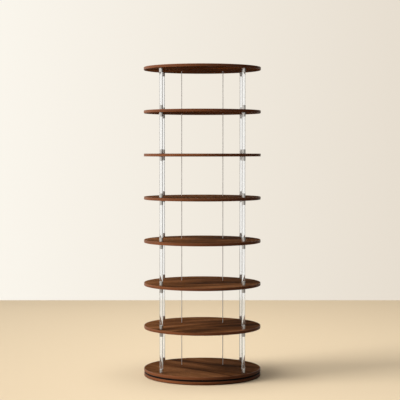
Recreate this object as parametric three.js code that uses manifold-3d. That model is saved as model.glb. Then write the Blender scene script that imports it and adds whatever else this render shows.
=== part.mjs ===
// Rotating shoe tower: eight round walnut shelves on clear posts, turning on a ring bearing.
// Lengths are in millimetres and angles in degrees. +Z is up, the front faces -Y, and the
// origin is on the floor under the middle of the base.

import * as THREE from 'three';
import { mergeVertices } from 'three/addons/utils/BufferGeometryUtils.js';
import Module from 'manifold-3d';

// Shelves: turned discs with eased rims, and the clear height between two of them
const shelf_count = 8;
const shelf_radius = 314;
const shelf_thickness = 15;
const shelf_edge = 2.5;
const tier_gap = 216;

// Base disc, of the shelves' radius, and the glide pads glued under it
const base_thickness = 15;
const pad_count = 6;
const pad_radius = 16;
const pad_height = 3;
const pad_inset = 50;

// Posts: clear rods with a metal ferrule bonded on each end and a threaded stud on top
const post_inset = 30;
const post_angle = 40.6;
const rod_radius = 9;
const ferrule_radius = 10;
const ferrule_height = 22;
const ferrule_lip = 1;
const stud_radius = 4;
const stud_grip = 11;
const stud_spare = 2;

// Threaded inserts sunk in the underside of the top shelf
const insert_wall = 2;
const insert_height = 9;

// Thin steel rods that run from the lowest shelf to the highest one
const stop_rod_radius = 2;
const stop_rod_spacing = 224;
const stop_rod_setback = 72;
const stop_rod_socket = 6;

// Ring bearing between the base and the lowest shelf
const turntable_gap = 9;
const bearing_inset = 2;
const outer_ring_width = 10.5;
const inner_ring_land = 15;
const ball_count = 18;
const ball_radius = 2.5;
const cage_width = 1.4;
const cage_height = 3;

// Countersunk screws that hold the outer ring to the base
const screw_count = 4;
const screw_radius = 1.75;
const screw_head_radius = 3.2;
const screw_head_land = 0.4;
const screw_length = 14;

// Clearances: where a piece seats, in a thread or bore, where it turns, and round a ball
const seat_gap = 0.3;
const thread_gap = 0.4;
const running_gap = 0.8;
const ball_gap = 0.4;

// How far a cut runs past the face that it opens
const overrun = 5;

// Facets round each kind of piece
const disc_sides = 54;
const ring_sides = 42;
const post_sides = 10;
const pad_sides = 12;
const ball_sides = 6;
const ball_rows = 3;

// Heights above the floor
const base_top = pad_height + base_thickness;
const tower_underside = base_top + turntable_gap;
const ball_level = base_top + turntable_gap / 2;
const ring_height = turntable_gap - seat_gap - running_gap;
const outer_ring_top = base_top + seat_gap + ring_height;
const inner_ring_underside = base_top + running_gap;

// Heights above the lowest shelf's underside
const shelf_pitch = shelf_thickness + tier_gap;
const top_shelf_underside = (shelf_count - 1) * shelf_pitch;

// Where the posts and the thin rods stand, seen from above
const post_circle = shelf_radius - post_inset;
const post_x = post_circle * Math.cos(THREE.MathUtils.degToRad(post_angle));
const post_y = post_circle * Math.sin(THREE.MathUtils.degToRad(post_angle));
const posts = [
  { place: 'front_left', x: -post_x, y: -post_y },
  { place: 'front_right', x: post_x, y: -post_y },
  { place: 'rear_left', x: -post_x, y: post_y },
  { place: 'rear_right', x: post_x, y: post_y },
];
const stop_rods = [
  { place: 'left', x: -stop_rod_spacing / 2, y: stop_rod_setback },
  { place: 'right', x: stop_rod_spacing / 2, y: stop_rod_setback },
];

// Bores for a stud, an insert and a thin rod
const stud_bore = stud_radius + thread_gap;
const insert_radius = stud_bore + insert_wall;
const insert_socket = insert_radius + seat_gap;
const insert_socket_depth = insert_height + seat_gap + seat_gap;
const stop_rod_bore = stop_rod_radius + thread_gap;

// Radii of the ring bearing, worked inwards from its rim
const outer_ring_radius = shelf_radius - bearing_inset;
const outer_ring_bore = outer_ring_radius - outer_ring_width;
const ball_circle = outer_ring_bore - running_gap - cage_width / 2;
const inner_ring_radius = ball_circle - cage_width / 2 - running_gap;
const inner_ring_bore = post_circle - inner_ring_land;
const groove_reach = ball_radius + ball_gap;

// Finishes
const walnut = { color: 0x5b3a25, roughness: 0.42, metalness: 0 };
const clear_acrylic = { color: 0xe6eae9, roughness: 0.06, metalness: 0, transparent: true, opacity: 0.5 };
const brass = { color: 0xb08d4f, roughness: 0.35, metalness: 1 };
const steel = { color: 0xa9a9a6, roughness: 0.25, metalness: 1 };
const black_metal = { color: 0x0b0b0c, roughness: 0.4, metalness: 0.6 };
const cage_plastic = { color: 0xd8d6cf, roughness: 0.5, metalness: 0 };
const pad_felt = { color: 0x2a2522, roughness: 0.95, metalness: 0 };

const manifold = await Module();
manifold.setup();

// A closed geometry becomes a solid that can be joined and cut
function solidOf(geometry) {
  geometry.deleteAttribute('normal');
  geometry.deleteAttribute('uv');
  const merged = mergeVertices(geometry);
  const triangles = [];
  for (let i = 0; i < merged.index.count; i += 3) {
    const corners = [merged.index.getX(i), merged.index.getX(i + 1), merged.index.getX(i + 2)];
    if (new Set(corners).size === corners.length) triangles.push(...corners);
  }
  const vertProperties = new Float32Array(merged.attributes.position.array);
  const triVerts = new Uint32Array(triangles);
  return new manifold.Manifold(new manifold.Mesh({ numProp: 3, vertProperties, triVerts }));
}

// A solid becomes a geometry again
function geometryOf(solid) {
  const mesh = solid.getMesh();
  const geometry = new THREE.BufferGeometry();
  geometry.setAttribute('position', new THREE.BufferAttribute(mesh.vertProperties, mesh.numProp));
  geometry.setIndex(new THREE.BufferAttribute(mesh.triVerts, 1));
  geometry.computeVertexNormals();
  return geometry;
}

// A profile of [radius, height] points, turned about an upright axis at x, y
function turned(profile, sides, x = 0, y = 0) {
  const points = profile.map(([radius, height]) => new THREE.Vector2(radius, height));
  const geometry = new THREE.LatheGeometry(points, sides);
  geometry.rotateX(Math.PI / 2);
  geometry.translate(x, y, 0);
  return solidOf(geometry);
}

// A plain round bar between two heights, which is also the cut that drills a hole
function bar(radius, bottom, top, sides, x = 0, y = 0) {
  return turned([[0, bottom], [radius, bottom], [radius, top], [0, top]], sides, x, y);
}

// A disc with both rims eased, resting on height zero
function easedDisc(thickness) {
  return turned([
    [0, 0],
    [shelf_radius - shelf_edge, 0],
    [shelf_radius, shelf_edge],
    [shelf_radius, thickness - shelf_edge],
    [shelf_radius - shelf_edge, thickness],
    [0, thickness],
  ], disc_sides);
}

// The corner radius of a faceted bore whose flats lie at the radius given, so that a round
// piece of that radius still turns inside it
function boreCorner(radius) {
  return radius / Math.cos(Math.PI / ring_sides);
}

// Evenly spaced places on a circle
function around(count, radius) {
  const places = [];
  for (let i = 0; i < count; i += 1) {
    const turn = (i * 2 * Math.PI) / count;
    places.push({ x: radius * Math.cos(turn), y: radius * Math.sin(turn) });
  }
  return places;
}

// Shelf: the lowest passes the foot studs and has sockets for the thin rods in its top, those
// between pass studs and rods, and the highest has sockets in its underside only
function shelf(number) {
  const lowest = number === 1;
  const highest = number === shelf_count;
  let solid = easedDisc(shelf_thickness);
  for (const { x, y } of posts) {
    const radius = highest ? insert_socket : stud_bore;
    const top = highest ? insert_socket_depth : shelf_thickness + overrun;
    solid = solid.subtract(bar(radius, -overrun, top, post_sides, x, y));
  }
  for (const { x, y } of stop_rods) {
    const bottom = lowest ? shelf_thickness - stop_rod_socket : -overrun;
    const top = highest ? stop_rod_socket : shelf_thickness + overrun;
    solid = solid.subtract(bar(stop_rod_bore, bottom, top, post_sides, x, y));
  }
  return solid;
}

// Post: tapped bottom ferrule, clear rod, top ferrule and its stud, resting on height zero
function post(stud_length) {
  const length = tier_gap - seat_gap - seat_gap;
  return turned([
    [0, stud_grip + stud_spare],
    [stud_bore, stud_grip + stud_spare],
    [stud_bore, 0],
    [ferrule_radius, 0],
    [ferrule_radius, ferrule_height - ferrule_lip],
    [rod_radius, ferrule_height],
    [rod_radius, length - ferrule_height],
    [ferrule_radius, length - ferrule_height + ferrule_lip],
    [ferrule_radius, length],
    [stud_radius, length],
    [stud_radius, length + stud_length],
    [0, length + stud_length],
  ], post_sides);
}

// Threaded insert: the sleeve in the top shelf that takes a top post's stud
function topInsert() {
  return turned([
    [stud_bore, 0],
    [insert_radius, 0],
    [insert_radius, insert_height],
    [stud_bore, insert_height],
    [stud_bore, 0],
  ], post_sides);
}

// Countersunk screw with its head sunk in the outer ring. With a gap round it and an open
// head it is the cut that the screw needs in the ring and in the base
function ringScrew({ x, y }, gap, head_top) {
  const land = outer_ring_top - seat_gap - screw_head_land;
  const tip = land + screw_head_land - screw_length;
  return turned([
    [0, tip - gap],
    [screw_radius + gap, tip - gap],
    [screw_radius + gap, land - (screw_head_radius - screw_radius)],
    [screw_head_radius + gap, land],
    [screw_head_radius + gap, head_top],
    [0, head_top],
  ], post_sides, x, y);
}

// The bearing ring section, from its lip on the ball side to its far face, with the groove
// for the balls sloping into the lip
function bearingRing(lip, far, groove_floor, underside) {
  const half_floor = groove_reach / 2;
  const half_mouth = half_floor + Math.abs(lip - groove_floor);
  const profile = [
    [lip, underside],
    [far, underside],
    [far, underside + ring_height],
    [lip, underside + ring_height],
    [lip, ball_level + half_mouth],
    [groove_floor, ball_level + half_floor],
    [groove_floor, ball_level - half_floor],
    [lip, ball_level - half_mouth],
    [lip, underside],
  ];
  return turned(far > lip ? profile : profile.reverse(), ring_sides);
}

// Outer ring: seated on the base and held by its screws
function outerRing() {
  const groove_floor = boreCorner(ball_circle + groove_reach);
  let solid = bearingRing(boreCorner(outer_ring_bore), outer_ring_radius, groove_floor, base_top + seat_gap);
  for (const place of screw_places) {
    solid = solid.subtract(ringScrew(place, thread_gap, outer_ring_top + overrun));
  }
  return solid;
}

// Inner ring: seated under the lowest shelf and tapped for the foot studs
function innerRing() {
  const groove_floor = ball_circle - groove_reach;
  let solid = bearingRing(inner_ring_radius, boreCorner(inner_ring_bore), groove_floor, inner_ring_underside);
  for (const { x, y } of posts) {
    solid = solid.subtract(bar(stud_bore, base_top - overrun, tower_underside + overrun, post_sides, x, y));
  }
  return solid;
}

// Ball cage: a thin band that carries the balls round between the two rings
function ballCage() {
  const bottom = ball_level - cage_height / 2;
  const top = ball_level + cage_height / 2;
  const inside = boreCorner(ball_circle - cage_width / 2);
  const outside = ball_circle + cage_width / 2;
  const band = [[inside, bottom], [outside, bottom], [outside, top], [inside, top], [inside, bottom]];
  let solid = turned(band, ring_sides);
  for (const { x, y } of around(ball_count, ball_circle)) {
    const ball = new THREE.SphereGeometry(ball_radius, ball_sides, ball_rows);
    ball.translate(x, y, ball_level);
    solid = solid.add(solidOf(ball));
  }
  return solid;
}

// Base disc: drilled blind from above for the ring screws
function baseDisc() {
  let solid = easedDisc(base_thickness).translate([0, 0, pad_height]);
  for (const place of screw_places) {
    solid = solid.subtract(ringScrew(place, thread_gap, outer_ring_top + overrun));
  }
  return solid;
}

// A named piece of its own finish, placed in its group
function add(group, name, solid, finish, x = 0, y = 0, z = 0) {
  const mesh = new THREE.Mesh(geometryOf(solid), new THREE.MeshStandardMaterial(finish));
  mesh.name = name;
  mesh.position.set(x, y, z);
  group.add(mesh);
}

// The base stands still, the ball cage turns at half speed and the tower turns on them both
const shoe_tower = new THREE.Group();
const base = new THREE.Group();
const tower = new THREE.Group();
tower.position.z = tower_underside;
shoe_tower.add(base, tower);

const screw_places = around(screw_count, outer_ring_bore + outer_ring_width / 2);
add(base, 'base_disc', baseDisc(), walnut);
add(base, 'bearing_outer_ring', outerRing(), black_metal);
for (const [index, place] of screw_places.entries()) {
  add(base, `ring_screw_${index + 1}`, ringScrew(place, 0, outer_ring_top - seat_gap), steel);
}
for (const [index, { x, y }] of around(pad_count, shelf_radius - pad_inset).entries()) {
  add(base, `glide_pad_${index + 1}`, bar(pad_radius, 0, pad_height - seat_gap, pad_sides), pad_felt, x, y);
}
add(shoe_tower, 'ball_cage', ballCage(), cage_plastic);
add(tower, 'bearing_inner_ring', innerRing(), black_metal, 0, 0, -tower_underside);

for (let number = 1; number <= shelf_count; number += 1) {
  add(tower, `shelf_${number}`, shelf(number), walnut, 0, 0, (number - 1) * shelf_pitch);
}

const foot_stud_bottom = inner_ring_underside + seat_gap - tower_underside;
const foot_stud_top = shelf_thickness + seat_gap + stud_grip;
for (const { place, x, y } of posts) {
  add(tower, `foot_stud_${place}`, bar(stud_radius, foot_stud_bottom, foot_stud_top, post_sides), steel, x, y);
}

const through_stud = post(seat_gap + shelf_thickness + seat_gap + stud_grip);
const top_stud = post(seat_gap + insert_height);
for (let tier = 1; tier < shelf_count; tier += 1) {
  const solid = tier === shelf_count - 1 ? top_stud : through_stud;
  const foot = (tier - 1) * shelf_pitch + shelf_thickness + seat_gap;
  for (const { place, x, y } of posts) {
    add(tower, `post_${tier}_${place}`, solid, clear_acrylic, x, y, foot);
  }
}
for (const { place, x, y } of posts) {
  add(tower, `top_insert_${place}`, topInsert(), brass, x, y, top_shelf_underside + seat_gap);
}

const stop_rod_bottom = shelf_thickness - stop_rod_socket + seat_gap;
const stop_rod_top = top_shelf_underside + stop_rod_socket - seat_gap;
for (const { place, x, y } of stop_rods) {
  add(tower, `stop_rod_${place}`, bar(stop_rod_radius, stop_rod_bottom, stop_rod_top, post_sides), steel, x, y);
}

export default shoe_tower;
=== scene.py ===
import math

import bpy
from mathutils import Matrix, Vector


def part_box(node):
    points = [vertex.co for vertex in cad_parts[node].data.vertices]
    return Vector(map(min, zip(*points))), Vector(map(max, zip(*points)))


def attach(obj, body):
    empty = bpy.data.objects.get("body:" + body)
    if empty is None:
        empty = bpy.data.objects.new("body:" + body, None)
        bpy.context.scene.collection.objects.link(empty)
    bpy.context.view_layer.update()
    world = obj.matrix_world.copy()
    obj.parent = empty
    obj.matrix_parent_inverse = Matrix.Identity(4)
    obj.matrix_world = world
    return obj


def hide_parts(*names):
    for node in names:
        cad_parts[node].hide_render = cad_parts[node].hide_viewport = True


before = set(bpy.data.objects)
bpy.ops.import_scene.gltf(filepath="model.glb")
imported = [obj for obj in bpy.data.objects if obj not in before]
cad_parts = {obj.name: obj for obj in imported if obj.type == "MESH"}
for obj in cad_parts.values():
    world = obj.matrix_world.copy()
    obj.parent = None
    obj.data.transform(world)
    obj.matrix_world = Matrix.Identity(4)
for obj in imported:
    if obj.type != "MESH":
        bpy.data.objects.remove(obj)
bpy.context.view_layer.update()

# Camera. It stands in front of the tower at chest height and looks down a little, far
# enough away that the round shelves stay flat ellipses. The tower stands just right of its axis.
picture_width = 400
focal_length = 1248.5
camera_sensor = 36.0
camera_place = (-0.0124, -6.72, 1.206)
camera_tilt = 0.0385

bpy.ops.object.camera_add(location=camera_place, rotation=(math.pi / 2 - camera_tilt, 0, 0))
camera = bpy.context.object
camera.data.sensor_width = camera_sensor
camera.data.lens = camera_sensor * focal_length / picture_width
bpy.context.scene.camera = camera
bpy.context.scene.view_settings.view_transform = "Standard"

# Stage. A plain pale floor, painted darker towards the window so that it looks even, and a
# pale wall, whose back hides nothing, with painted light on the window's side and painted shade
# on the other. Metal and the clear posts see the floor in tones of their own, and for the posts
# the floor and the wall fall off to the sides.
stage_size = 16
floor_colour = (0.755, 0.63, 0.455, 1)
floor_fade = 6.0
floor_near_window = 0.34
floor_shade = (0.32, 0.215, 0.110, 1)
floor_mirrored = (0.32, 0.30, 0.275, 1)
floor_through = (0.88, 0.85, 0.79, 1)
floor_sides = 0.22
floor_slant = -0.75
floor_sides_from = -0.20
floor_sides_to = 0.28
floor_roughness = 0.7
floor_shine = 0.15
wall_distance = 3.4
wall_width = 5.0
# The wall's painted light on the window's side and its painted shade on the other side
wall_painted_lit = (0.96, 0.92, 0.84, 1)
wall_painted_shaded = (0.80, 0.73, 0.63, 1)
wall_fade = 1.6
wall_shade = (0.15, 0.13, 0.10, 1)
wall_through = (1.0, 0.985, 0.95, 1)
wall_ends = 0.80
wall_ends_from = 1.5
wall_ends_to = 2.3
wall_roughness = 0.9


def step(tree, kind, feeds=None, **settings):
    # One step of a finish: its settings, and what feeds each of its inputs
    node = tree.nodes.new(kind)
    for name, value in settings.items():
        setattr(node, name, value)
    for name, value in (feeds or {}).items():
        if isinstance(value, bpy.types.NodeSocket):
            tree.links.new(value, node.inputs[name])
        else:
            node.inputs[name].default_value = value
    return node


def new_finish(name, **settings):
    # A new finish, with the numbers and colours that are the same all over it
    made = bpy.data.materials.new(name)
    made.use_nodes = True
    shader = made.node_tree.nodes["Principled BSDF"]
    for socket, value in settings.items():
        shader.inputs[socket.replace("_", " ")].default_value = value
    return made, made.node_tree, shader


def lay_on(tree, shader, **sources):
    # Feeds the shader what varies over the surface
    for socket, source in sources.items():
        tree.links.new(source, shader.inputs[socket.replace("_", " ")])


def spot_on(tree):
    # The spot on the piece itself, which moves with it
    return step(tree, "ShaderNodeTexCoord").outputs["Object"]


def reckoned(tree, operation, *values):
    # One sum, such as the larger of two values
    return step(tree, "ShaderNodeMath", dict(enumerate(values)), operation=operation).outputs[0]


def ranged(tree, value, low, high, start=0, end=1):
    # What runs from start to end is carried over to the range from low to high
    reach = {"From Min": start, "From Max": end, "To Min": low, "To Max": high}
    return step(tree, "ShaderNodeMapRange", {"Value": value, **reach}).outputs[0]


def scaled(tree, tone, level):
    # A tone made darker or lighter by a level
    return step(tree, "ShaderNodeVectorMath", {0: tone, "Scale": level}, operation="SCALE").outputs[0]


def blended(tree, share, first, second):
    # The first tone where the share is zero, the second where it is one
    feeds = {"Factor": share, 6: first, 7: second}
    return step(tree, "ShaderNodeMix", feeds, data_type="RGBA").outputs[2]


def seen_plainly(tree):
    # One where the stage is seen directly, mirrored or through a clear piece, and zero where
    # it only sheds light
    path = step(tree, "ShaderNodeLightPath").outputs
    mirrored = reckoned(tree, "MAXIMUM", path["Is Camera Ray"], path["Is Glossy Ray"])
    return reckoned(tree, "MAXIMUM", mirrored, path["Is Transmission Ray"])


def by_way(tree, shed, mirrored, through, direct):
    # The stage's tone in the light that it sheds, in metal, through a clear piece and seen directly
    path = step(tree, "ShaderNodeLightPath").outputs
    tone = blended(tree, path["Is Glossy Ray"], shed, mirrored)
    tone = blended(tree, path["Is Transmission Ray"], tone, through)
    return blended(tree, path["Is Camera Ray"], tone, direct)


def stage_sheet(name, location, rotation, width, paint):
    bpy.ops.object.select_all(action="DESELECT")
    bpy.ops.mesh.primitive_plane_add(size=stage_size, location=location, rotation=rotation)
    sheet = bpy.context.object
    sheet.name = name
    sheet.scale = (width / stage_size, 1, 1)
    bpy.ops.object.transform_apply(location=False, rotation=False, scale=True)
    sheet.data.materials.append(paint)


floor_paint, floor_tree, floor_shader = new_finish(
    "floor_paint", Roughness=floor_roughness, Specular_IOR_Level=floor_shine
)
floor_split = step(floor_tree, "ShaderNodeSeparateXYZ", {0: spot_on(floor_tree)}).outputs
floor_evened = ranged(floor_tree, floor_split["X"], floor_near_window, 1, -floor_fade, 0)
floor_seen = scaled(floor_tree, floor_colour[:3], floor_evened)
floor_across = reckoned(floor_tree, "ABSOLUTE", floor_split["X"])
floor_along = reckoned(floor_tree, "ABSOLUTE", floor_split["Y"])
floor_aside = reckoned(floor_tree, "MULTIPLY_ADD", floor_along, floor_slant, floor_across)
floor_dimmed = ranged(floor_tree, floor_aside, 1, floor_sides, floor_sides_from, floor_sides_to)
floor_clear = scaled(floor_tree, floor_through[:3], floor_dimmed)
floor_tone = by_way(floor_tree, floor_shade, floor_mirrored, floor_clear, floor_seen)
lay_on(floor_tree, floor_shader, Base_Color=floor_tone)
stage_sheet("stage_floor", (0, 0, 0), (0, 0, 0), stage_size, floor_paint)

wall_paint, wall_tree, wall_shader = new_finish(
    "wall_paint", Base_Color=wall_shade, Roughness=wall_roughness
)
wall_split = step(wall_tree, "ShaderNodeSeparateXYZ", {0: spot_on(wall_tree)}).outputs
# Painted light and shade: the wall runs from its lit tone on the left to its shaded tone on the right
wall_side = ranged(wall_tree, wall_split["X"], 0, 1, -wall_fade, wall_fade)
wall_tone = blended(wall_tree, wall_side, wall_painted_lit, wall_painted_shaded)
wall_across = reckoned(wall_tree, "ABSOLUTE", wall_split["X"])
wall_dimmed = ranged(wall_tree, wall_across, 1, wall_ends, wall_ends_from, wall_ends_to)
wall_clear = scaled(wall_tree, wall_through[:3], wall_dimmed)
wall_bright = by_way(wall_tree, wall_tone, wall_tone, wall_clear, wall_tone)
wall_glow = step(wall_tree, "ShaderNodeEmission", {"Color": wall_bright}).outputs[0]
wall_painted = {0: seen_plainly(wall_tree), 1: wall_shader.outputs[0], 2: wall_glow}
wall_seen = step(wall_tree, "ShaderNodeMixShader", wall_painted).outputs[0]
wall_back = step(wall_tree, "ShaderNodeNewGeometry").outputs["Backfacing"]
wall_bare = step(wall_tree, "ShaderNodeBsdfTransparent").outputs[0]
wall_one_sided = step(wall_tree, "ShaderNodeMixShader", {0: wall_back, 1: wall_seen, 2: wall_bare})
lay_on(wall_tree, wall_tree.nodes["Material Output"], Surface=wall_one_sided.outputs[0])
stage_sheet("stage_wall", (0, wall_distance, 0), (math.pi / 2, 0, 0), wall_width, wall_paint)

# Light. A tall soft window stands to the left and a little in front, and a soft panel hangs
# high overhead. The room is bright on the window's side and dim on the other, both as it is
# seen in the metal and the clear posts and in the light that it gives.
window_place = (-13.4, -4.3, 6.2)
window_aim = (0, 0, 0.9)
window_width = 8.0
window_height = 8.0
window_power = 3050
window_colour = (1.0, 0.96, 0.90)
panel_height = 7.0
panel_width = 1.6
panel_power = 190
room_colour = (1.0, 0.965, 0.91)
room_behind = (0.80, 0.765, 0.71, 1)
# Bearing in degrees, from the front towards the right, and how bright the room is there
room_mirrored = (
    (-180, 0.60),
    (-150, 0.50),
    (-134, 1.00),
    (-104, 1.00),
    (-60, 0.96),
    (0, 0.76),
    (30, 0.68),
    (54, 0.44),
    (78, 0.08),
    (142, 0.08),
    (180, 0.60),
)
room_through = (
    (-180, 0.60),
    (-150, 0.05),
    (-126, 0.04),
    (-104, 1.10),
    (-60, 1.20),
    (0, 1.00),
    (76, 0.64),
    (100, 0.24),
    (142, 0.20),
    (180, 0.60),
)
room_given = (
    (-180, 0.08),
    (-140, 0.22),
    (-110, 1.15),
    (-70, 1.05),
    (-20, 0.36),
    (25, 0.12),
    (90, 0.09),
    (180, 0.08),
)

bpy.ops.object.light_add(type="AREA", location=window_place)
window = bpy.context.object
window.data.shape = "RECTANGLE"
window.data.size = window_width
window.data.size_y = window_height
window.data.energy = window_power
window.data.color = window_colour
window.visible_glossy = False
window.visible_transmission = False
window.rotation_euler = (Vector(window_aim) - Vector(window_place)).to_track_quat("-Z", "Y").to_euler()

bpy.ops.object.light_add(type="AREA", location=(0, 0, panel_height))
panel = bpy.context.object
panel.data.size = panel_width
panel.data.energy = panel_power
panel.data.color = window_colour

room = bpy.data.worlds.new("room")
bpy.context.scene.world = room
room.use_nodes = True
room_tree = room.node_tree
room_way = step(room_tree, "ShaderNodeTexCoord").outputs["Generated"]
room_split = step(room_tree, "ShaderNodeSeparateXYZ", {0: room_way}).outputs
room_front = reckoned(room_tree, "SUBTRACT", 0, room_split["Y"])
room_turn = reckoned(room_tree, "ARCTAN2", room_split["X"], room_front)
room_share = ranged(room_tree, room_turn, 0, 1, -math.pi, math.pi)


def room_tones(bearings):
    # The room's tone all round, from its level at each bearing
    tones = step(room_tree, "ShaderNodeValToRGB", {"Fac": room_share})
    stops = tones.color_ramp.elements
    stops.remove(stops[1])
    for bearing, level in bearings[1:]:
        stops.new((bearing + 180) / 360).color = [part * level for part in room_colour] + [1]
    stops[0].color = [part * bearings[0][1] for part in room_colour] + [1]
    return tones.outputs["Color"]


room_tone = by_way(
    room_tree, room_tones(room_given), room_tones(room_mirrored), room_tones(room_through), room_behind
)
lay_on(room_tree, room_tree.nodes["Background"], Color=room_tone)

# Glide pads. Round pads of pressed wool felt, punched from sheet and glued under the base,
# so that they bear the tower and don't mark the floor.
pad_count = 6
pad_sides = 48
pad_easing = 0.0007
pad_easing_steps = 3
pad_smoothing = 20
felt_dark = (0.016, 0.014, 0.012, 1)
felt_pale = (0.060, 0.052, 0.046, 1)
felt_sheen = 0.25
felt_sheen_spread = 0.6
felt_fibre = 900
felt_tangle = 0.7
felt_curl = 1.2
felt_nap_strength = 0.7
felt_nap_depth = 0.0005


def only(thing):
    # Selects one thing and nothing else
    bpy.ops.object.select_all(action="DESELECT")
    thing.select_set(True)
    bpy.context.view_layer.objects.active = thing


def settle(thing):
    # Applies what is still live on a piece and puts its place in its mesh
    only(thing)
    for modifier in list(thing.modifiers):
        bpy.ops.object.modifier_apply(modifier=modifier.name)
    bpy.ops.object.transform_apply(location=True, rotation=True, scale=True)


def turned(name, sides, profile):
    # A solid turned about an upright axis: the first ring is filled, then drawn through the rest
    radius, height = profile[0]
    bpy.ops.object.select_all(action="DESELECT")
    bpy.ops.mesh.primitive_circle_add(
        vertices=sides, radius=radius, fill_type="NGON", location=(0, 0, height)
    )
    made = bpy.context.object
    made.name = name
    bpy.ops.object.transform_apply(location=True, rotation=True, scale=True)
    bpy.ops.object.mode_set(mode="EDIT")
    bpy.ops.mesh.select_all(action="SELECT")
    for next_radius, next_height in profile[1:]:
        bpy.ops.mesh.extrude_region_move(TRANSFORM_OT_translate={"value": (0, 0, next_height - height)})
        grow = next_radius / radius
        bpy.ops.transform.resize(value=(grow, grow, 1), center_override=(0, 0, next_height))
        radius, height = next_radius, next_height
    bpy.ops.mesh.select_all(action="SELECT")
    bpy.ops.mesh.normals_make_consistent(inside=False)
    bpy.ops.object.mode_set(mode="OBJECT")
    return made


def ease(thing, width, steps, angle=40):
    # Rounds the edges that are sharper than an angle in degrees
    bevel = thing.modifiers.new("easing", "BEVEL")
    bevel.width = width
    bevel.segments = steps
    bevel.limit_method = "ANGLE"
    bevel.angle_limit = math.radians(angle)
    settle(thing)


def smooth(thing, angle=35):
    # Shades faces as one curve where they meet at less than an angle in degrees
    only(thing)
    bpy.ops.object.shade_smooth_by_angle(angle=math.radians(angle))


def copy_at(pattern, name, place):
    # Another piece of the same shape, with a mesh of its own, at its own place
    made = pattern.copy()
    made.data = pattern.data.copy()
    made.data.transform(Matrix.Translation(place))
    made.name = name
    bpy.context.collection.objects.link(made)
    return made


def foot_of(node):
    # The middle of a node's lowest face
    low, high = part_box(node)
    return Vector(((low.x + high.x) / 2, (low.y + high.y) / 2, low.z))


def discard(thing):
    bpy.data.objects.remove(thing)


def clouded(tree, place, scale, detail, **others):
    # An uneven pattern: how fine it is, how many finer layers lie in it, and what else is set
    feeds = {"Vector": place, "Scale": scale, "Detail": detail, **others}
    return step(tree, "ShaderNodeTexNoise", feeds).outputs["Fac"]


def relief(tree, height, strength, depth):
    # Fine ridges and hollows
    feeds = {"Height": height, "Strength": strength, "Distance": depth}
    return step(tree, "ShaderNodeBump", feeds).outputs[0]


felt, felt_tree, felt_shader = new_finish(
    "felt", Roughness=1.0, Sheen_Weight=felt_sheen, Sheen_Roughness=felt_sheen_spread
)
felt_hair = clouded(
    felt_tree, spot_on(felt_tree), felt_fibre, 4, Roughness=felt_tangle, Distortion=felt_curl
)
felt_tone = blended(felt_tree, felt_hair, felt_dark, felt_pale)
felt_nap = relief(felt_tree, felt_hair, felt_nap_strength, felt_nap_depth)
lay_on(felt_tree, felt_shader, Base_Color=felt_tone, Normal=felt_nap)

pad_low, pad_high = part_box("glide_pad_1")
pad_radius = (pad_high.x - pad_low.x) / 2
pad = turned("felt_pad", pad_sides, [(pad_radius, 0), (pad_radius, pad_high.z - pad_low.z)])
ease(pad, pad_easing, pad_easing_steps)
smooth(pad, pad_smoothing)
pad.data.materials.append(felt)
for number in range(1, pad_count + 1):
    piece = copy_at(pad, f"felt_pad_{number}", foot_of(f"glide_pad_{number}"))
    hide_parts(f"glide_pad_{number}")
    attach(piece, "base")
discard(pad)

# Base disc. A board veneered in walnut on both faces and lipped round its edge with a strip of
# the same wood, turned true, eased by hand and finished in satin lacquer.
disc_sides = 192
disc_easing = 0.0018
disc_easing_steps = 4
lipping = 0.0030
glue_line = 0.00025
bore_sides = 24
drill_past = 0.01
pilot_bore = 0.0021
pilot_depth = 0.0068
base_leaf = 11
base_turn = 0.10
leaf_apart = (1.73, 0.91, 2.37)
walnut_dark = (0.072, 0.0260, 0.0080, 1)
walnut_middle = (0.150, 0.0560, 0.0185, 1)
walnut_red = (0.215, 0.0840, 0.0300, 1)
walnut_pale = (0.330, 0.1400, 0.0560, 1)
walnut_stops = (0.37, 0.46, 0.54, 0.64)
figure_pull = (1.0, 5.0, 5.0)
figure_scale = 2.2
figure_roughness = 0.42
figure_waver = 0.8
rings_pull = (0.22, 1.0, 1.0)
rings_scale = 7.0
rings_waver = 9.0
rings_detail_scale = 1.2
rings_detail_roughness = 0.6
rings_share = 0.07
lines_pull = (2.2, 120, 120)
lines_roughness = 0.65
lines_share = 0.18
pores_pull = (26, 620, 620)
pores_roughness = 0.5
pores_from = 0.36
pores_to = 0.50
pores_level = 0.45
pores_strength = 0.25
pores_depth = 0.0002
veneer_gloss = (0.72, 0.86)
veneer_shine = 0.018
strip_apart = (1.0, 0.3, 0.7)
lipping_dark = (0.080, 0.0250, 0.0080, 1)
lipping_pale = (0.204, 0.0690, 0.0250, 1)
streaks_pull = (1.4, 170, 170)
streaks_roughness = 0.6
streaks_waver = 0.3
streaks_from = 0.28
streaks_to = 0.72
streaks_strength = 0.2
streaks_depth = 0.0003
glue_level = 0.35
lipping_gloss = (0.36, 0.52)
lipping_shine = 0.22


def drill(thing, bores):
    # Each bore: its radius, lowest and highest level, and its place
    bits = []
    for radius, low, high, place in bores:
        bit = turned("bit", bore_sides, [(radius, low), (radius, high)])
        bit.data.transform(Matrix.Translation((place[0], place[1], 0)))
        bits.append(bit)
    only(bits[0])
    for bit in bits:
        bit.select_set(True)
    bpy.ops.object.join()
    bit = bpy.context.object
    cut_away(thing, bit)


def cut_away(thing, tool):
    # Takes the tool's shape out of a piece, and then the tool itself away
    cut = thing.modifiers.new("cut", "BOOLEAN")
    cut.object = tool
    cut.operation = "DIFFERENCE"
    cut.solver = "EXACT"
    settle(thing)
    discard(tool)


def drawn_out(tree, place, pull, **others):
    # A pattern's place, drawn out one way, and moved or turned where that is given
    feeds = {"Vector": place, "Scale": pull, **others}
    return step(tree, "ShaderNodeMapping", feeds).outputs[0]


def mingled(tree, share, first, second):
    # A share of the second pattern in the first
    return step(tree, "ShaderNodeMix", {"Factor": share, "A": first, "B": second}).outputs["Result"]


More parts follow.
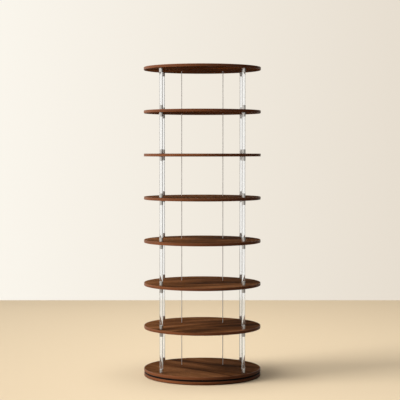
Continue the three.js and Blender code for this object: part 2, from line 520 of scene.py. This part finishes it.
def walnut_face(name, seed, turn, shade):
    # Flat-sawn veneer: broad wavering figure, growth lines along it, and short open pores
    made, tree, shader = new_finish(name, Specular_IOR_Level=veneer_shine)
    moved = [seed * part for part in leaf_apart]
    leaf = drawn_out(tree, spot_on(tree), (1, 1, 1), Location=moved, Rotation=(0, 0, turn))
    figure_place = drawn_out(tree, leaf, figure_pull)
    figure = clouded(
        tree, figure_place, figure_scale, 3, Roughness=figure_roughness, Distortion=figure_waver
    )
    rings_feeds = {
        "Vector": drawn_out(tree, leaf, rings_pull),
        "Scale": rings_scale,
        "Distortion": rings_waver,
        "Detail": 3,
        "Detail Scale": rings_detail_scale,
        "Detail Roughness": rings_detail_roughness,
    }
    rings = step(tree, "ShaderNodeTexWave", rings_feeds, wave_type="BANDS", bands_direction="Y")
    lines = clouded(tree, drawn_out(tree, leaf, lines_pull), 1, 5, Roughness=lines_roughness)
    with_rings = mingled(tree, rings_share, figure, rings.outputs["Fac"])
    with_lines = mingled(tree, lines_share, with_rings, lines)
    tone = step(tree, "ShaderNodeValToRGB", {"Fac": with_lines})
    stops = tone.color_ramp.elements
    stops[0].position, stops[0].color = walnut_stops[0], walnut_dark
    stops[1].position, stops[1].color = walnut_stops[3], walnut_pale
    stops.new(walnut_stops[1]).color = walnut_middle
    stops.new(walnut_stops[2]).color = walnut_red
    pores = clouded(tree, drawn_out(tree, leaf, pores_pull), 1, 2, Roughness=pores_roughness)
    # The shade level carries each leaf's own tone, and for the highest shelves painted light as well
    pore = ranged(tree, pores, pores_level * shade, shade, pores_from, pores_to)
    veneer = scaled(tree, tone.outputs["Color"], pore)
    gloss = ranged(tree, lines, *veneer_gloss)
    open_grain = relief(tree, pore, pores_strength, pores_depth)
    lay_on(tree, shader, Base_Color=veneer, Roughness=gloss, Normal=open_grain)
    return made


def walnut_lipping(name, seed):
    # Edge strip: the grain runs round the rim, and a thin dark glue line parts it from the veneer
    made, tree, shader = new_finish(name, Specular_IOR_Level=lipping_shine)
    split = step(tree, "ShaderNodeSeparateXYZ", {0: spot_on(tree)}).outputs
    bearing = reckoned(tree, "ARCTAN2", split["Y"], split["X"])
    flat = step(tree, "ShaderNodeCombineXYZ", {"X": split["X"], "Y": split["Y"]}).outputs[0]
    reach = step(tree, "ShaderNodeVectorMath", {0: flat}, operation="LENGTH").outputs["Value"]
    strip = step(tree, "ShaderNodeCombineXYZ", {"X": bearing, "Y": reach, "Z": split["Z"]}).outputs[0]
    moved = [seed * part for part in strip_apart]
    along = drawn_out(tree, strip, streaks_pull, Location=moved)
    streaks = clouded(tree, along, 1, 5, Roughness=streaks_roughness, Distortion=streaks_waver)
    share = ranged(tree, streaks, 0, 1, streaks_from, streaks_to)
    colour = blended(tree, share, lipping_dark, lipping_pale)
    strip_edge = disc_radius - lipping
    glue = ranged(tree, reach, glue_level, 1, strip_edge, strip_edge + glue_line)
    gloss = ranged(tree, streaks, *lipping_gloss)
    grain = relief(tree, streaks, streaks_strength, streaks_depth)
    lay_on(tree, shader, Base_Color=scaled(tree, colour, glue), Roughness=gloss, Normal=grain)
    return made


def walnut_disc(name, low, high, bores, seed, turn, shade=1.0):
    # Both faces end at the lipping, so that the strip and the veneer are faces of their own
    veneer_edge = disc_radius - lipping
    disc = turned(name, disc_sides, [
        (veneer_edge, low), (disc_radius, low), (disc_radius, high), (veneer_edge, high),
    ])
    ease(disc, disc_easing, disc_easing_steps)
    drill(disc, bores)
    smooth(disc)
    disc.data.materials.append(walnut_face(f"{name}_veneer", seed, turn, shade))
    disc.data.materials.append(walnut_lipping(f"{name}_lipping", seed))
    for face in disc.data.polygons:
        face.material_index = int(face.center.xy.length > veneer_edge)
    return disc


base_low, base_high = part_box("base_disc")
disc_radius = base_high.y
screw_count = 4
screw_feet = [foot_of(f"ring_screw_{number}") for number in range(1, screw_count + 1)]
pilot_from, pilot_to = base_high.z - pilot_depth, base_high.z + drill_past
base_bores = [(pilot_bore, pilot_from, pilot_to, foot) for foot in screw_feet]
base = walnut_disc("walnut_base", base_low.z, base_high.z, base_bores, base_leaf, base_turn)
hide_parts("base_disc")
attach(base, "base")

# Bearing rings. Two aluminium rings turned with a ball groove and anodised satin black. Their
# near black is also painted shade, so that the outer ring stands for the shadow in the gap
# between the base and the lowest shelf. The outer one is screwed to the base, and the inner
# one carries the lowest shelf.
ring_sides = 192
ring_easing = 0.0005
ring_easing_steps = 2
outer_bore = 0.3015
inner_bore = 0.269
inner_radius = 0.2985
ball_circle = 0.300
ball_level = 0.0225
groove_radius = 0.0029
groove_steps = 16
screw_shank = 0.0021
screw_head_bore = 0.0036
screw_head_depth = 0.0030
stud_bore = 0.0044
# Near black: the rings' own black anodising, and painted shade for the gap that the outer ring fills
anodised_and_gap_shade_dark = (0.0022, 0.0022, 0.0024, 1)
anodised_and_gap_shade_pale = (0.0052, 0.0051, 0.0053, 1)
anodised_gloss = (0.40, 0.58)
anodised_shine = 0.08
blast_fineness = 700
blast_strength = 0.15
blast_depth = 0.0002

# The black finish: anodising, and painted shade in the gap between the base and the lowest shelf
black_anodised_and_gap_shade, black_tree, black_shader = new_finish(
    "black_anodised_and_gap_shade", Specular_IOR_Level=anodised_shine
)
black_blast = clouded(black_tree, spot_on(black_tree), blast_fineness, 3)
black_tone = blended(black_tree, black_blast, anodised_and_gap_shade_dark, anodised_and_gap_shade_pale)
black_gloss = ranged(black_tree, black_blast, *anodised_gloss)
black_grit = relief(black_tree, black_blast, blast_strength, blast_depth)
lay_on(black_tree, black_shader, Base_Color=black_tone, Roughness=black_gloss, Normal=black_grit)


def hoop(name, bore, radius, low, high):
    # A flat ring: its two round ends are taken out and the hole between them is walled
    ring = turned(name, ring_sides, [(bore, low), (radius, low), (radius, high), (bore, high)])
    bpy.ops.object.mode_set(mode="EDIT")
    bpy.ops.mesh.select_mode(type="FACE")
    bpy.ops.mesh.select_all(action="DESELECT")
    bpy.ops.object.mode_set(mode="OBJECT")
    for face in ring.data.polygons:
        face.select = len(face.vertices) == ring_sides
    bpy.ops.object.mode_set(mode="EDIT")
    bpy.ops.mesh.bridge_edge_loops()
    bpy.ops.mesh.select_all(action="SELECT")
    bpy.ops.mesh.normals_make_consistent(inside=False)
    bpy.ops.mesh.select_mode(type="VERT")
    bpy.ops.object.mode_set(mode="OBJECT")
    return ring


def bearing_ring(name, node, bore, radius):
    # A ring as high as its node, with the groove that the balls run in
    low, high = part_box(node)
    ring = hoop(name, bore, radius, low.z, high.z)
    ease(ring, ring_easing, ring_easing_steps)
    bpy.ops.object.select_all(action="DESELECT")
    bpy.ops.mesh.primitive_torus_add(
        major_radius=ball_circle,
        minor_radius=groove_radius,
        major_segments=ring_sides,
        minor_segments=groove_steps,
        location=(0, 0, ball_level),
    )
    tool = bpy.context.object
    settle(tool)
    cut_away(ring, tool)
    ring.data.materials.append(black_anodised_and_gap_shade)
    return ring


outer_low, outer_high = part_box("bearing_outer_ring")
outer_ring = bearing_ring("black_outer_ring", "bearing_outer_ring", outer_bore, outer_high.y)
head_level = outer_high.z - screw_head_depth
outer_from, outer_to = outer_low.z - drill_past, outer_high.z + drill_past
drill(outer_ring, [(screw_shank, outer_from, outer_to, foot) for foot in screw_feet])
drill(outer_ring, [(screw_head_bore, head_level, outer_to, foot) for foot in screw_feet])
smooth(outer_ring)
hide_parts("bearing_outer_ring")
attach(outer_ring, "base")

corners = ("front_left", "front_right", "rear_left", "rear_right")
post_feet = {corner: foot_of(f"foot_stud_{corner}") for corner in corners}
inner_low, inner_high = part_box("bearing_inner_ring")
inner_ring = bearing_ring("black_inner_ring", "bearing_inner_ring", inner_bore, inner_radius)
inner_from, inner_to = inner_low.z - drill_past, inner_high.z + drill_past
drill(inner_ring, [(stud_bore, inner_from, inner_to, post_feet[corner]) for corner in corners])
smooth(inner_ring)
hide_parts("bearing_inner_ring")
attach(inner_ring, "tower")

# Ring screws. Countersunk zinc-plated wood screws with a cross recess, driven through the
# outer ring into the base.
screw_sides = 24
thread_crest = 0.00175
thread_root = 0.00125
thread_pitch = 0.0011
screw_point = 0.0016
head_land = 0.0004
head_burr = 0.0001
recess_depth = 0.0017
recess_long = 0.0034
recess_wide = 0.0008
zinc_dark = (0.42, 0.42, 0.43, 1)
zinc_pale = (0.66, 0.66, 0.66, 1)
zinc_gloss = (0.22, 0.42)
metal_fineness = 160
metal_cloud_roughness = 0.6
tooling_strength = 0.06
tooling_depth = 0.0001


def bright_metal(name, dark, pale, gloss, turning=0):
    # Bright metal, clouded a little; turned metal also has fine tool lines round its axis
    made, tree, shader = new_finish(name, Metallic=1.0)
    place = spot_on(tree)
    cloud = clouded(tree, place, metal_fineness, 3, Roughness=metal_cloud_roughness)
    tone = blended(tree, cloud, dark, pale)
    lay_on(tree, shader, Base_Color=tone, Roughness=ranged(tree, cloud, *gloss))
    if turning:
        lines = clouded(tree, drawn_out(tree, place, (1, 1, turning)), 1, 2)
        lay_on(tree, shader, Normal=relief(tree, lines, tooling_strength, tooling_depth))
    return made


screw_low, screw_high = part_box("ring_screw_1")
screw_length = screw_high.z - screw_low.z
head_radius = (screw_high.y - screw_low.y) / 2
shank_top = screw_length - head_land - (head_radius - thread_crest)
screw_profile = [(head_burr, 0), (thread_root, screw_point)]
level = screw_point
while level + thread_pitch < shank_top:
    screw_profile += [(thread_crest, level + thread_pitch * 0.5), (thread_root, level + thread_pitch)]
    level += thread_pitch
screw_profile += [
    (thread_crest, shank_top),
    (head_radius, screw_length - head_land),
    (head_radius, screw_length - head_burr),
    (head_radius - head_burr, screw_length),
]
screw = turned("zinc_screw", screw_sides, screw_profile)
for long_way, short_way in ((recess_long, recess_wide), (recess_wide, recess_long)):
    bpy.ops.object.select_all(action="DESELECT")
    bpy.ops.mesh.primitive_cube_add(size=1, location=(0, 0, screw_length))
    punch = bpy.context.object
    punch.scale = (long_way, short_way, recess_depth * 2)
    settle(punch)
    cut_away(screw, punch)
smooth(screw)
screw.data.materials.append(bright_metal("zinc_plate", zinc_dark, zinc_pale, zinc_gloss))
for number, foot in enumerate(screw_feet, start=1):
    piece = copy_at(screw, f"zinc_screw_{number}", foot)
    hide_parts(f"ring_screw_{number}")
    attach(piece, "base")
discard(screw)

# Balls and cage. Hardened steel balls run in the two grooves, spaced by a thin moulded
# nylon band.
ball_count = 18
ball_radius = 0.0025
ball_segments = 20
ball_rings = 12
cage_wall = 0.0007
cage_half_height = 0.0015
cage_easing = 0.0003
cage_easing_steps = 2
nylon_dark = (0.50, 0.48, 0.42, 1)
nylon_pale = (0.66, 0.64, 0.58, 1)
nylon_fineness = 220
nylon_gloss = (0.42, 0.58)
ball_dark = (0.50, 0.50, 0.50, 1)
ball_pale = (0.68, 0.68, 0.68, 1)
ball_gloss = (0.06, 0.14)

nylon, nylon_tree, nylon_shader = new_finish("nylon")
nylon_cloud = clouded(nylon_tree, spot_on(nylon_tree), nylon_fineness, 3)
nylon_tone = blended(nylon_tree, nylon_cloud, nylon_dark, nylon_pale)
nylon_polish = ranged(nylon_tree, nylon_cloud, *nylon_gloss)
lay_on(nylon_tree, nylon_shader, Base_Color=nylon_tone, Roughness=nylon_polish)

cage = hoop(
    "nylon_cage",
    ball_circle - cage_wall,
    ball_circle + cage_wall,
    ball_level - cage_half_height,
    ball_level + cage_half_height,
)
ease(cage, cage_easing, cage_easing_steps)
smooth(cage)
cage.data.materials.append(nylon)

balls = []
for number in range(ball_count):
    angle = 2 * math.pi * number / ball_count
    bpy.ops.object.select_all(action="DESELECT")
    bpy.ops.mesh.primitive_uv_sphere_add(
        segments=ball_segments,
        ring_count=ball_rings,
        radius=ball_radius,
        location=(ball_circle * math.cos(angle), ball_circle * math.sin(angle), ball_level),
    )
    balls.append(bpy.context.object)
only(balls[0])
for ball in balls:
    ball.select_set(True)
bpy.ops.object.join()
ball_set = bpy.context.object
ball_set.name = "steel_balls"
settle(ball_set)
bpy.ops.object.shade_smooth()
ball_set.data.materials.append(bright_metal("ball_steel", ball_dark, ball_pale, ball_gloss))
for piece, slot in ((cage, "cage"), (ball_set, "steel")):
    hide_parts("ball_cage")
    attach(piece, "cage")

# Foot studs. Lengths of plated threaded rod, screwed into the inner ring and standing up
# through the lowest shelf for the first posts.
stud_sides = 24
stud_crest = 0.0040
stud_root = 0.0034
stud_pitch = 0.00125
stud_point = 0.0003
stud_crest_from = 0.4
stud_crest_to = 0.6
stud_smoothing = 20
plated_dark = (0.44, 0.44, 0.45, 1)
plated_pale = (0.68, 0.68, 0.67, 1)
plated_gloss = (0.20, 0.36)
plated = bright_metal("plated_thread", plated_dark, plated_pale, plated_gloss)


def threaded(name, length):
    # Rod between a plain foot and a slightly tapered head, standing on height zero. The
    # turns of its thread are rings, one above another, and don't wind
    turns = int((length - stud_pitch) / stud_pitch)
    spare = (length - turns * stud_pitch) / 2
    profile = [(stud_root, 0), (stud_root, spare)]
    for turn in range(turns):
        profile.append((stud_crest, spare + (turn + stud_crest_from) * stud_pitch))
        profile.append((stud_crest, spare + (turn + stud_crest_to) * stud_pitch))
        profile.append((stud_root, spare + (turn + 1) * stud_pitch))
    profile.append((stud_root - stud_point, length))
    rod = turned(name, stud_sides, profile)
    smooth(rod, stud_smoothing)
    rod.data.materials.append(plated)
    return rod


foot_low, foot_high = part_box("foot_stud_front_left")
foot_stud = threaded("plated_foot_stud", foot_high.z - foot_low.z)
for corner in corners:
    piece = copy_at(foot_stud, f"plated_foot_stud_{corner}", post_feet[corner])
    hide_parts(f"foot_stud_{corner}")
    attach(piece, "tower")
discard(foot_stud)

# Shelves. Eight discs made as the base is. The posts' studs pass through the lower ones, the
# highest has blind sockets underneath, and two small holes take the thin rods.
shelf_count = 8
shelf_turns = (0.75, -0.48, -0.35, 0.12, -0.20, 0.30, -0.10, 0.15)
shelf_leaves = (25, 2, 19, 20, 37, 6, 7, 8)
# Each leaf's own tone. The two highest shelves are also painted lighter, as painted light that lifts
# their shaded undersides
shelf_tones_and_painted_light = (0.76, 1.00, 0.96, 0.99, 0.86, 1.00, 1.08, 1.20)
insert_socket = 0.0067
insert_depth = 0.0096
rod_bore = 0.0024
rod_socket = 0.006
rod_feet = [foot_of(f"stop_rod_{side}") for side in ("left", "right")]
for number in range(1, shelf_count + 1):
    low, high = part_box(f"shelf_{number}")
    past = high.z - low.z
    highest = number == shelf_count
    stud_hole = insert_socket if highest else stud_bore
    stud_top = low.z + insert_depth if highest else high.z + past
    bores = [(stud_hole, low.z - past, stud_top, post_feet[corner]) for corner in corners]
    rod_low = high.z - rod_socket if number == 1 else low.z - past
    rod_high = low.z + rod_socket if highest else high.z + past
    bores += [(rod_bore, rod_low, rod_high, foot) for foot in rod_feet]
    leaf, turn, shade = shelf_leaves[number - 1], shelf_turns[number - 1], shelf_tones_and_painted_light[number - 1]
    shelf = walnut_disc(f"walnut_shelf_{number}", low.z, high.z, bores, leaf, turn, shade)
    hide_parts(f"shelf_{number}")
    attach(shelf, "tower")

# Posts. Each is a cast acrylic rod, polished clear, with a nickel-plated brass ferrule bonded
# on either end. The upper ferrule holds a threaded stud and the lower one is tapped for it.
tier_count = 7
rod_sides = 64
rod_radius = 0.009
rod_easing = 0.0004
rod_easing_steps = 2
rod_smoothing = 20
ferrule_sides = 64
ferrule_radius = 0.010
ferrule_height = 0.022
ferrule_chamfer = 0.0006
ferrule_lip = 0.0004
ferrule_burr = 0.0003
ferrule_smoothing = 30
socket_radius = 0.00905
socket_depth = 0.008
rod_gap = 0.0002
tapped_depth = 0.013
stud_hold = 0.010
acrylic_clear = (1.0, 1.0, 1.0, 1)
acrylic_cloud = (0.980, 0.988, 0.985, 1)
acrylic_bending = 1.49
acrylic_clearness = 0.94
acrylic_pull = (1, 1, 0.12)
acrylic_fineness = 90
acrylic_cloud_roughness = 0.5
acrylic_gloss = (0.0, 0.035)
nickel_dark = (0.61, 0.60, 0.585, 1)
nickel_pale = (0.75, 0.74, 0.725, 1)
nickel_gloss = (0.18, 0.28)
nickel_turning = 2600

acrylic, acrylic_tree, acrylic_shader = new_finish(
    "clear_acrylic", IOR=acrylic_bending, Transmission_Weight=acrylic_clearness
)
acrylic_draw = drawn_out(acrylic_tree, spot_on(acrylic_tree), acrylic_pull)
acrylic_haze = clouded(
    acrylic_tree, acrylic_draw, acrylic_fineness, 3, Roughness=acrylic_cloud_roughness
)
acrylic_tone = blended(acrylic_tree, acrylic_haze, acrylic_cloud, acrylic_clear)
acrylic_polish = ranged(acrylic_tree, acrylic_haze, *acrylic_gloss)
lay_on(acrylic_tree, acrylic_shader, Base_Color=acrylic_tone, Roughness=acrylic_polish)
nickel = bright_metal("nickel_plate", nickel_dark, nickel_pale, nickel_gloss, nickel_turning)

post_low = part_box("post_1_front_left")[0]
seat_gap = post_low.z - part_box("shelf_1")[1].z
post_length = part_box("shelf_2")[0].z - seat_gap - post_low.z
rod_foot = ferrule_height - socket_depth + rod_gap
rod_head = post_length - rod_foot
rod = turned("acrylic_rod", rod_sides, [(rod_radius, rod_foot), (rod_radius, rod_head)])
ease(rod, rod_easing, rod_easing_steps)
smooth(rod, rod_smoothing)
rod.data.materials.append(acrylic)

lower = turned("nickel_lower_ferrule", ferrule_sides, [
    (stud_bore, tapped_depth),
    (stud_bore, ferrule_burr),
    (stud_bore + ferrule_burr, 0),
    (ferrule_radius - ferrule_burr, 0),
    (ferrule_radius, ferrule_burr),
    (ferrule_radius, ferrule_height - ferrule_chamfer),
    (ferrule_radius - ferrule_lip, ferrule_height),
    (socket_radius + ferrule_burr / 2, ferrule_height),
    (socket_radius, ferrule_height - ferrule_burr),
    (socket_radius, ferrule_height - socket_depth),
])
smooth(lower, ferrule_smoothing)
lower.data.materials.append(nickel)

upper_foot = post_length - ferrule_height
upper = turned("nickel_upper_ferrule", ferrule_sides, [
    (socket_radius, upper_foot + socket_depth),
    (socket_radius, upper_foot + ferrule_burr),
    (socket_radius + ferrule_burr / 2, upper_foot),
    (ferrule_radius - ferrule_lip, upper_foot),
    (ferrule_radius, upper_foot + ferrule_chamfer),
    (ferrule_radius, post_length - ferrule_burr),
    (ferrule_radius - ferrule_burr, post_length),
    (stud_bore + ferrule_burr, post_length),
    (stud_bore, post_length - ferrule_burr),
    (stud_bore, post_length - stud_hold),
])
smooth(upper, ferrule_smoothing)
upper.data.materials.append(nickel)

for tier in range(1, tier_count + 1):
    for corner in corners:
        node = f"post_{tier}_{corner}"
        low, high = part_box(node)
        foot = foot_of(node)
        stud_length = high.z - low.z - post_length + stud_hold - rod_gap
        stud = threaded(f"plated_stud_{tier}_{corner}", stud_length)
        stud.data.transform(Matrix.Translation(foot + Vector((0, 0, post_length - stud_hold + rod_gap))))
        made = (
            (copy_at(lower, f"nickel_lower_{tier}_{corner}", foot), "ferrule"),
            (copy_at(rod, f"acrylic_rod_{tier}_{corner}", foot), "clear_post"),
            (copy_at(upper, f"nickel_upper_{tier}_{corner}", foot), "ferrule"),
            (stud, "steel"),
        )
        for piece, slot in made:
            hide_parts(node)
            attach(piece, "tower")
for pattern in (lower, rod, upper):
    discard(pattern)

# Top inserts. Turned brass sleeves with chamfered ends and a waist round the middle, pressed
# into the underside of the highest shelf to take the last studs.
insert_sides = 36
insert_radius = 0.0064
insert_groove = 0.0005
insert_waist = (0.40, 0.46, 0.54, 0.60)
insert_smoothing = 30
brass_dark = (0.42, 0.27, 0.09, 1)
brass_pale = (0.62, 0.43, 0.17, 1)
brass_gloss = (0.24, 0.38)
brass_turning = 1800
insert_low, insert_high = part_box("top_insert_front_left")
insert_length = insert_high.z - insert_low.z
insert = turned("brass_insert", insert_sides, [
    (insert_radius - insert_groove, 0),
    (insert_radius, insert_groove),
    (insert_radius, insert_length * insert_waist[0]),
    (insert_radius - insert_groove, insert_length * insert_waist[1]),
    (insert_radius - insert_groove, insert_length * insert_waist[2]),
    (insert_radius, insert_length * insert_waist[3]),
    (insert_radius, insert_length - insert_groove),
    (insert_radius - insert_groove, insert_length),
])
drill(insert, [(stud_bore, -drill_past, insert_length + drill_past, (0, 0))])
smooth(insert, insert_smoothing)
insert.data.materials.append(bright_metal("brass", brass_dark, brass_pale, brass_gloss, brass_turning))
for corner in corners:
    piece = copy_at(insert, f"brass_insert_{corner}", foot_of(f"top_insert_{corner}"))
    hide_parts(f"top_insert_{corner}")
    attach(piece, "tower")
discard(insert)

# Thin rods. Two lengths of ground stainless rod, run through every shelf behind the middle so
# that nothing slides through to the far side.
thin_sides = 24
thin_chamfer = 0.0003
stainless_dark = (0.70, 0.69, 0.68, 1)
stainless_pale = (0.84, 0.83, 0.82, 1)
stainless_gloss = (0.42, 0.55)
stainless_turning = 900
stainless = bright_metal(
    "ground_stainless", stainless_dark, stainless_pale, stainless_gloss, stainless_turning
)
thin_low, thin_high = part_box("stop_rod_left")
thin_radius = (thin_high.x - thin_low.x) / 2
thin_length = thin_high.z - thin_low.z
thin = turned("stainless_rod", thin_sides, [
    (thin_radius - thin_chamfer, 0),
    (thin_radius, thin_chamfer),
    (thin_radius, thin_length - thin_chamfer),
    (thin_radius - thin_chamfer, thin_length),
])
smooth(thin)
thin.data.materials.append(stainless)
for side, foot in zip(("left", "right"), rod_feet):
    piece = copy_at(thin, f"stainless_rod_{side}", foot)
    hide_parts(f"stop_rod_{side}")
    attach(piece, "tower")
discard(thin)
